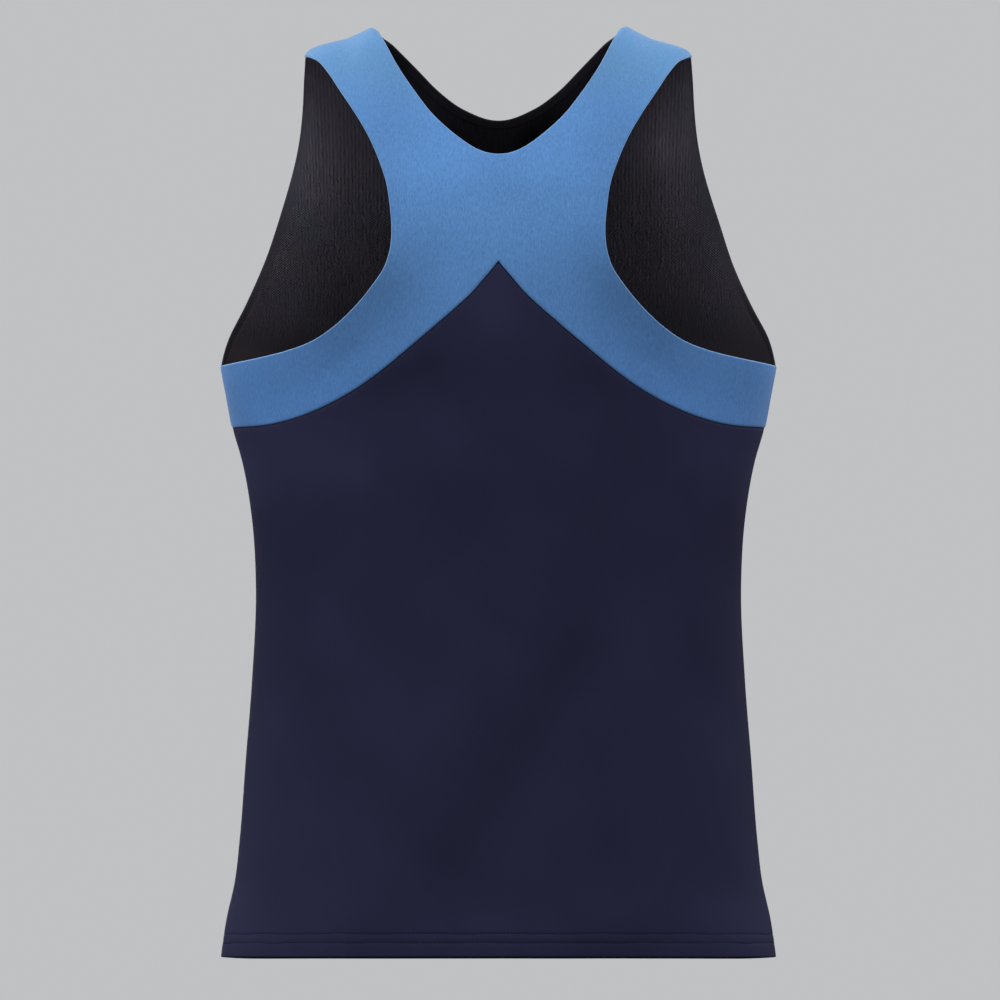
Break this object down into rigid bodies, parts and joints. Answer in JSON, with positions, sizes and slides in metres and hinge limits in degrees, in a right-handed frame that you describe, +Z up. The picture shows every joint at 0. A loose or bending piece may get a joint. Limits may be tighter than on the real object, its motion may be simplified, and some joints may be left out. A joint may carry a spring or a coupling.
{
  "type": "tennis tank top",
  "caption": "Women's racerback tank top in worn form, with an X-shaped yoke, a peaked back panel, a high front and open neck, armholes and hem.",
  "frame": {"origin": "midway between the two shoulder straps, at the height of the shoulders that carry them", "axes": "+Z up, the front of the top faces -Y, the wearer's left is +X"},
  "size_m": [0.359, 0.2431, 0.6064],
  "materials": {
    "navy_knit": "smooth stretch knit with a faint sheen",
    "sky_knit": "smooth stretch knit with a faint sheen"
  },
  "bodies": {
    "root": {"front_panel": "navy_knit", "back_panel": "navy_knit", "back_yoke": "sky_knit"}
  },
  "joints": []
}
